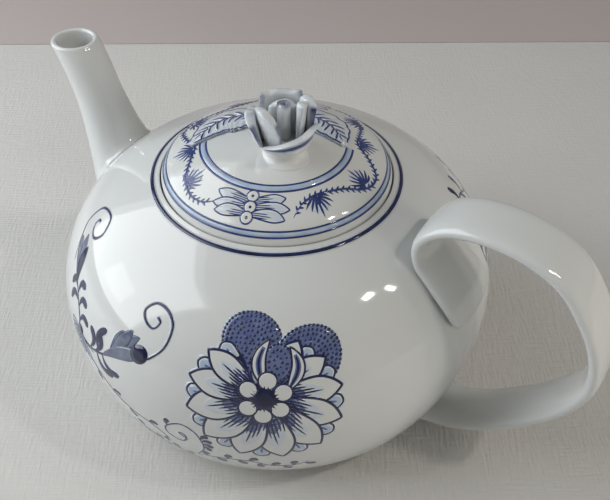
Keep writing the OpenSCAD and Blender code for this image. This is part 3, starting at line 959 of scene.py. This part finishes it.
def paint_low_spiral():
    b = pot_brush
    b.on(body_chart(-80, 34))
    h = 0.03
    b.line([(1.5, -1.6), (-1.7, 1.4), (0.6, 1.2), (0.7, -1.8), (-1.3, -4.2), (-5, -3.3), (-6.8, -0.6),
            (-5.6, 3.4), (-0.2, 7.2), (4.6, 5), (6.6, -0.4), (6.5, -5.8), (2.8, -13.2)],
           0.62, h, ends=(1, 0.6))
    vine = [(2.8, -13.2), (8, -11.4), (13.2, -10.1), (21.9, -9.2), (28.1, -12.5), (35, -13), (42, -9.6)]
    b.line(vine, 0.6, h)
    branch = [(2.8, -13.2), (-4, -15.5), (-12, -14), (-19, -9.5), (-25, -9)]
    b.line(branch, 0.6, h)
    b.leafy(vine, 22, 3.2, 2.4, 1.3, h)
    b.leafy(branch, 16, 3.2, 2.4, 1.3, h)
    for i in range(5):
        a = math.radians(-60 + 34 * i)
        p = np.array([-5.6, 3.4]) if i > 3 else np.array([6.6, -3 + i * 1.5])
        b.drop(p, p + 3.8 * np.array([math.cos(a), math.sin(a)]), 0.2, 1.1, h)


def paint_right():
    """Vine that goes on from the flower to the foot of the handle."""
    b = pot_brush
    b.on(body_chart(20, 65))
    h = 0.03
    stalk = [(4.5, -15), (3.1, -11), (1.2, -6), (0.7, -1.9), (2.5, 5), (7, 10.5), (12, 13), (17.6, 12.4),
             (26, 7), (34, 5), (41, 9), (47, 15)]
    b.line(stalk, 0.62, h)
    b.drops([((3.1, -11), (9.4, -15), 0.3), ((1.8, -7.6), (8.8, -7.4), 0.3), ((0.7, -1.9), (7.4, -1), 0.3),
             ((2.2, 4), (9, 4.4), 0.3), ((7, 10.5), (4.6, 17), 0.3), ((10, 12.4), (14, 6.4), 0.3),
             ((12, 13), (13.4, 19.6), -0.3), ((17.6, 12.4), (17.3, 5), 0.3), ((21, 10.4), (24, 16.4), -0.3),
             ((26, 7), (24.6, 0.4), 0.3), ((30, 5.6), (33.4, 11.6), -0.3), ((35, 5.2), (38, -1), 0.3),
             ((41, 9), (38.6, 15.4), 0.3), ((43.5, 11.5), (50, 9.4), -0.3)], 1.35, h)


# ---- Back of the body: a smaller flower between two sprigs
def paint_back():
    b = pot_brush
    b.on(body_chart(118, 56))
    rng = np.random.default_rng(8)
    for k in range(10):
        angle = math.radians(36 * k)
        d = spoke(angle)
        reach = 17.5 - 2 * math.cos(angle)
        b.halo.blade(d * 4, d * (reach + 0.8), 4.1, HALO_H, peak=0.56, root=0.34)
        h = 0.03 + 0.005 * k
        edge = b.white.blade(d * 4, d * reach, 3.4, h, peak=0.56, root=0.34, sharp=0.92)
        b.edge(edge, 0.6, h + 0.004, n=44)
        b.halo.blade(d * 4.2, d * reach * 0.7, 2.2, h + 0.0015, peak=0.5, root=0.7, sharp=0.8)
        side = left(d)
        for i in range(-2, 3):
            top = 11.6 - 0.8 * abs(i) + rng.normal() * 0.3
            rib = [d * 5.4 + side * i * 0.6, d * 8 + side * i * 0.8, d * top + side * i * 0.8]
            b.dark.stroke(rib, 0.5, h + 0.004, ends=(1, 0.15))
    stipple(b, (0, 0), 5.6, 5.6, 0.09, 9)
    spikes = 2.2 + 0.9 * (np.arange(30) % 2)
    ring = circle(30)
    b.deep.fan([np.zeros(2), ring * 0.8, ring * 1.6, ring * spikes[:, None]], 0.105)
    for s in (-1, 1):
        vine = [(18 * s, -6), (25 * s, -1), (32 * s, 3), (39 * s, 0), (44 * s, -6)]
        b.line(vine, 0.62, 0.03)
        lead = [(25 * s, -1), (32 * s, 2), (36 * s, 7)]
        b.spiral((30 * s, 12), 0.8, 5, 90 - 90 * s, 1.6 * s, 0.6, 0.03, lead)
        b.leafy(vine, 18, 3.6, 2.6, 1.4, 0.03)


def ring_band(film, radius, width, z_of, h, start=0.0, stop=360.0, n=360):
    """Flat ring or arc about the axis; z_of gives the height and the outward normal at a radius."""
    a = np.radians(np.linspace(start, stop, n))
    rows = [z_of(radius, q) for q in (-width / 2, 0, width / 2)]
    points, normals = ([np.stack([v[0] * np.cos(a), v[0] * np.sin(a), np.full(n, v[1])], -1) for v in column]
                       for column in zip(*rows))
    film.patch(np.stack(points, 1), np.stack(normals, 1), h)


def on_meridian(radius, q):
    s = np.interp(-radius, -meridian[90:, 0], along[90:]) + q
    p = np.array([np.interp(s, along, meridian[:, 0]), np.interp(s, along, meridian[:, 1])])
    k = np.interp(s, along, slope[:, 0]), np.interp(s, along, slope[:, 1])
    return p, (k[1], -k[0])


def on_dome(radius, q):
    r = radius + q
    z = float(lid_height(r))
    return (r, z), (r / DOME_R, (z - DOME_Z) / DOME_R)


def on_edge(radius, q):
    """Steep painted edge of the lid, between its top and its side."""
    top, low = np.array([LID_TOP_R, EDGE_Z - 0.4]), np.array([LID_R - 0.8, EDGE_Z - 2.2])
    d = unit(low - top)
    t = (radius - top[0]) / (low[0] - top[0])
    return top + (low - top) * t + d * q, (-d[1], d[0])


def paint_rings():
    ring_band(pot_brush.halo, 43.4, 2.2, on_meridian, 0.02)
    ring_band(pot_brush.dark, 43.4, 1.3, on_meridian, 0.035)
    ring_band(lid_brush.wash, (LID_TOP_R + LID_R) / 2 - 0.4, 1.4, on_edge, 0.02)
    for r in (LID_TOP_R + 0.1, LID_R - 0.9):
        ring_band(lid_brush.dark, r, 0.6, on_edge, 0.04)
    start = math.degrees(LID_TURN) - 93
    stop = math.degrees(LID_TURN) + 80
    ring_band(lid_brush.wash, 25, 2.6, on_dome, 0.03, start, stop)
    ring_band(lid_brush.dark, 26.1, 0.7, on_dome, 0.04, start, stop)
    ring_band(lid_brush.dark, 23.9, 0.6, on_dome, 0.04, start, stop)


# ---- Lid: vine with barbs, tufts and berries, twice round
# radius and degrees
LID_VINE = [(34.6, -48.2), (30.6, -40.9), (29, -31.8), (29.6, -21), (31.2, -11.7), (34.4, -3), (35.9, 4.7),
            (35.3, 13.2), (31.3, 23.5), (28.6, 30), (27.8, 36.4), (29.6, 46), (33.2, 58.5), (35.4, 70),
            (35.3, 79.2), (33.4, 85.7)]


def paint_lid_half(turn):
    b = lid_brush
    b.on(lambda uv: on_lid(turn_plan(uv, math.radians(turn))))
    h = 0.03
    for tips, foot, way in ((((29.3, -95.9), (33.4, -94.3), (35.4, -91.0)), -73.5, 1),
                            (((28.4, -50.7), (32.2, -49.2), (35.3, -52.6)), -71, -1)):
        for i, tip in enumerate(tips):
            e, base = polar(*tip), polar((29.6, 31.8, 34)[i], foot)
            shape = dict(peak=0.6, root=0.3, bend=(0.05, 0, -0.05)[i] * way)
            edge = b.white.blade(base, e, 1.9, h + 0.008 * i, cols=11, sharp=0.95, **shape)
            b.edge(edge, 0.46, h + 0.008 * i + 0.005, n=50)
            b.halo.blade(base, e, 1.1, h + 0.008 * i + 0.002, **shape)
            side = unit(left(e - base))
            for q in (-0.55, 0, 0.55):
                rib = [base + side * q, base + (e - base) * (0.62 - 0.2 * abs(q)) + side * q * 1.3]
                b.dark.stroke(rib, 0.34, h + 0.008 * i + 0.005, n=7, ends=(1, 0.2))
    ring = circle(24)
    for i, (r, a) in enumerate(((28.1, -72.2), (31.7, -72.1), (35.0, -72.6))):
        c = polar(r, a)
        b.white.fan([c, c + ring * 0.6, c + ring * 1.3, c + ring * 1.95], h + 0.03 + 0.006 * i)
        b.edge(closed_line(c + ring * 1.9), 0.44, h + 0.034 + 0.006 * i, n=30)
        b.deep.disc(c, 0.5, h + 0.034 + 0.006 * i, n=12)
    vine = np.array([polar(*p) for p in LID_VINE])
    b.line(vine, 0.7, h, n=90)
    spots = smooth_line(vine, 84)
    for i in range(2, 82):
        d = unit(spots[i + 1] - spots[i - 1])
        n = left(d) * (1 if i % 2 else -1)
        if np.linalg.norm(spots[i] + n * 1.4) < 37.3:
            tip = spots[i] + n * 1.25 + d * 0.75
            b.dark.blade(spots[i] - d * 0.3, tip, 0.34, h + 0.02, peak=0.2, root=0.9)
    for r, a, out in ((31.9, -31.7, 1), (31.6, 2, -1), (31.2, 36, 1), (31.4, 63, -1)):
        c = polar(r, a)
        radial = unit(c) * out
        side = left(radial)
        root = c - radial * 2.6
        b.halo.blade(root, root + radial * 5.6, 2.9, HALO_H, peak=0.62, root=0.2, sharp=0.5)
        b.dark.blade(root, root + radial * 3.2, 0.9, h + 0.004, peak=0.5, root=0.6, sharp=0.6)
        for k in np.linspace(-1, 1, 9):
            reach = 6.6 - 1.5 * abs(k) + 0.5 * math.cos(k * 9)
            e = root + radial * reach * math.cos(k * 1.3) + side * reach * math.sin(k * 1.3)
            start = root + (e - root) * 0.1
            b.dark.blade(start, e, 0.4, h + 0.007, peak=0.5, root=0.5, bend=0.1 * k, sharp=1.0)


def paint_leaf(name, points, width, side):
    leaf = Leaf(points, width)
    leaf.build(name)
    b = leaf_brushes
    b.on(leaf.chart)
    length = leaf.length
    u = np.linspace(0.02 * length, 0.975 * length, 70)
    for s in (-1, 1):
        edge = np.stack([u, s * (leaf.half(u / length) - 0.5)], -1)
        b.dark.stroke(edge, 0.62, 0.05, ends=(0.8, 0.8), n=110)
    rib = [(0.04 * length, 0), (0.5 * length, 0.15 * side), (0.93 * length, 0)]
    b.dark.stroke(rib, 0.62, 0.07, ends=(1, 0.3), n=40)
    for i, x in enumerate(np.linspace(0.12, 0.8, 8)):
        for s in (-1, 1):
            half = float(leaf.half(np.array(x)))
            reach = half * (0.42 + 0.05 * ((i * 7) % 3))
            p = [(x * length, 0), ((x + 0.05) * length, s * reach * 0.45), ((x + 0.11) * length, s * reach)]
            b.halo.stroke(p, 1.9, 0.02, n=9, ends=(0.8, 0.4))
            b.dark.stroke(p, 0.72, 0.06, n=9, ends=(0.9, 0.15))


paint_flower()
paint_flower_heart()
paint_spray()
paint_low_spiral()
paint_right()
paint_back()
paint_rings()
for half_turn in (0, 180):
    paint_lid_half(half_turn)
pot_brush.build()
lid_brush.build()
leaf_brushes = Brush("lid", "leaf_glaze", "leaf_paint")
for leaf_name, (leaf_points, leaf_width, leaf_side) in LEAVES.items():
    paint_leaf(leaf_name, leaf_points, leaf_width, leaf_side)
leaf_brushes.build()


# ---- Floor, backdrop, light and camera
CAM = Vector((0.1143, -0.1908, 0.2611))
CAM_PITCH, CAM_TURN, CAM_ROLL = math.radians(90 - 43.17), math.radians(33.07), math.radians(-0.27)
CAM_LENS, CAM_SHIFT = 48.16918, (0.0355738, 0.0111475)
THREAD_LONG, THREAD_WIDE = 1 / 900, 1 / 110


def matt(name, colour, second, scale, weave=False):
    """Matt cloth or paint that drifts between two tones; weave adds crossed threads."""
    n = Nodes(name)
    inputs = {"Base Color": n.mix(n.noise(scale, 4), (*colour, 1), (*second, 1)), "Roughness": 0.95,
              "Specular IOR Level": 0.1}
    if weave:
        threads = []
        for x, y in ((THREAD_LONG, THREAD_WIDE), (THREAD_WIDE, THREAD_LONG)):
            stretch = {"Vector": n.place, "Rotation": (0, 0, CAM_TURN), "Scale": (x, y, 1)}
            threads.append(n.noise(1, 2, n.add("Mapping", "Vector", stretch, vector_type="TEXTURE")))
        cloth = n.add("Math", "Value", {0: threads[0], 1: threads[1]}, operation="ADD")
        inputs["Normal"] = n.bump(cloth, 0.35, 0.0008)
    return n.finish(inputs)


def quad(name, corners, material):
    mesh = bpy.data.meshes.new(name)
    mesh.from_pydata(corners, [], [[0, 1, 2, 3]])
    obj = bpy.data.objects.new(name, mesh)
    bpy.context.scene.collection.objects.link(obj)
    obj.data.materials.append(material)
    return obj


heading = Vector((-math.sin(CAM_TURN), math.cos(CAM_TURN), 0))
right = Vector((math.cos(CAM_TURN), math.sin(CAM_TURN), 0))
FLOOR_HALF, BACK_HALF, BACK_DEPTH = 3, 2.4, 2
floor_cloth = matt("floor_cloth", (0.57, 0.553, 0.535), (0.63, 0.613, 0.59), 14, weave=True)
backdrop_paint = matt("backdrop", (0.46, 0.4, 0.385), (0.51, 0.445, 0.43), 5)
quad("floor", [(x * FLOOR_HALF, y * FLOOR_HALF, 0) for x, y in ((-1, -1), (1, -1), (1, 1), (-1, 1))],
     floor_cloth)
cloth_edge = Vector((CAM.x, CAM.y, 0.0003)) + heading * 0.4805
quad("backdrop", [tuple(cloth_edge + right * BACK_HALF * x + heading * BACK_DEPTH * y)
                  for x, y in ((-1, 0), (1, 0), (1, 1), (-1, 1))], backdrop_paint)


AIM_Z = 0.06


def lamp(name, azimuth, elevation, distance, size, watts, colour):
    """Rectangular soft light that looks at the middle of the pot; angles in degrees round its axis."""
    data = bpy.data.lights.new(name, "AREA")
    data.shape = "RECTANGLE"
    data.size, data.size_y = size
    data.energy = watts
    data.color = colour
    obj = bpy.data.objects.new(name, data)
    a, e = math.radians(azimuth), math.radians(elevation)
    target = Vector((0, 0, AIM_Z)) + Vector(AXIS * MM)
    flat = math.cos(e)
    obj.location = target + distance * Vector((flat * math.cos(a), flat * math.sin(a), math.sin(e)))
    obj.rotation_euler = (target - obj.location).to_track_quat("-Z", "Y").to_euler()
    obj.visible_camera = False
    bpy.context.scene.collection.objects.link(obj)
    return obj


lamp("window", -155, 35, 1.1, (1.3, 1.3), 5.0, (0.86, 0.93, 1.0))
sheen = lamp("window_sheen", -154, 33, 1.05, (1.1, 1.15), 9.0, (0.95, 0.98, 1.0))
sheen.visible_diffuse = False
lamp("window_core", -149, 19, 1.0, (0.3, 0.3), 0.35, (1.0, 1.0, 1.0))
lamp("small_lamp", 10, 51, 1.0, (0.07, 0.05), 1.3, (1.0, 0.95, 0.88))
lamp("far_lamp", 22, 44, 1.2, (0.05, 0.12), 0.7, (1.0, 0.97, 0.92))
for fill in (lamp("side_fill", -148, 26, 0.55, (0.5, 0.45), 2.3, (0.92, 0.97, 1.0)),
             lamp("handle_fill", 4, 8, 1.0, (0.8, 0.26), 3.0, (1.0, 0.97, 0.9))):
    fill.visible_glossy = False

world = bpy.data.worlds.new("studio")
bpy.context.scene.world = world
world.use_nodes = True
back = world.node_tree.nodes["Background"]
back.inputs["Color"].default_value = (0.97, 0.95, 0.9, 1)
back.inputs["Strength"].default_value = 0.2

cam = bpy.data.cameras.new("camera")
cam.sensor_width = 36
cam.sensor_fit = "HORIZONTAL"
cam.lens = CAM_LENS
cam.shift_x, cam.shift_y = CAM_SHIFT
cam.clip_start = 0.01
camera = bpy.data.objects.new("camera", cam)
camera.matrix_world = (Matrix.Translation(CAM) @ Matrix.Rotation(CAM_TURN, 4, "Z")
                       @ Matrix.Rotation(CAM_PITCH, 4, "X") @ Matrix.Rotation(CAM_ROLL, 4, "Z"))
bpy.context.scene.collection.objects.link(camera)
bpy.context.scene.camera = camera
bpy.context.scene.view_settings.view_transform = "Standard"
